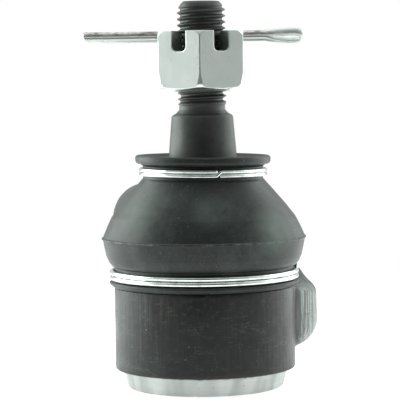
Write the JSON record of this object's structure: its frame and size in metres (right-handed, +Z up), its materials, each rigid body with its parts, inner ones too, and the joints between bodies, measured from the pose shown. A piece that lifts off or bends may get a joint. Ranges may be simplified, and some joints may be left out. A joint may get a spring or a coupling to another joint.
{
  "type": "tie rod end",
  "caption": "Outer tie rod end: ball stud in a forged housing with a bowed arm and threaded shank, rubber boot, castle nut and cotter pin.",
  "frame": {"origin": "centre of the housing's closed end face, on the stud's axis at rest", "axes": "+Z up along the stud towards its thread, +Y along the shank towards its threaded socket, +X towards the side the arm bows out to"},
  "size_m": [0.0493, 0.1194, 0.0786],
  "materials": {
    "forged_black": "thin black coating over a forged and turned surface, bare machined rim at the bottom",
    "bare_steel": "turned steel",
    "spring_steel": "oiled spring steel",
    "seat_polymer": "natural acetal",
    "phosphated_steel": "dark phosphate, satin",
    "boot_rubber": "moulded rubber, satin",
    "bright_wire": "bright plated wire",
    "zinc_plating": "bright zinc plate",
    "pin_steel": "bright zinc plate, slightly tarnished"
  },
  "bodies": {
    "housing": {"housing": "forged_black", "cover_plate": "bare_steel", "preload_spring": "spring_steel", "lower_boot_clip": "bright_wire"},
    "swivel": {"lower_ball_seat": "seat_polymer", "upper_ball_seat": "seat_polymer", "dust_boot": "boot_rubber"},
    "boot_collar": {"upper_boot_clip": "bright_wire"},
    "stud": {"ball_stud": "phosphated_steel", "castle_nut": "zinc_plating"},
    "pin": {"cotter_pin": "pin_steel"}
  },
  "joints": [
    {"name": "stud_swivel", "type": "hinge", "parent": "housing", "child": "swivel", "pos_m": [0, 0, 0.0155], "axis": [0, 0, 1], "continuous": true},
    {"name": "stud_tilt", "type": "hinge", "parent": "swivel", "child": "boot_collar", "pos_m": [0, 0, 0.0155], "axis": [1, 0, 0], "range_deg": [-22, 22], "deforming": ["dust_boot"]},
    {"name": "stud_spin", "type": "hinge", "parent": "boot_collar", "child": "stud", "pos_m": [0, 0, 0.0155], "axis": [0, 0, 1], "continuous": true},
    {"name": "pin_slide", "type": "slide", "parent": "stud", "child": "pin", "axis": [0.9829, -0.184, 0], "range_m": [0, 0.046]}
  ]
}
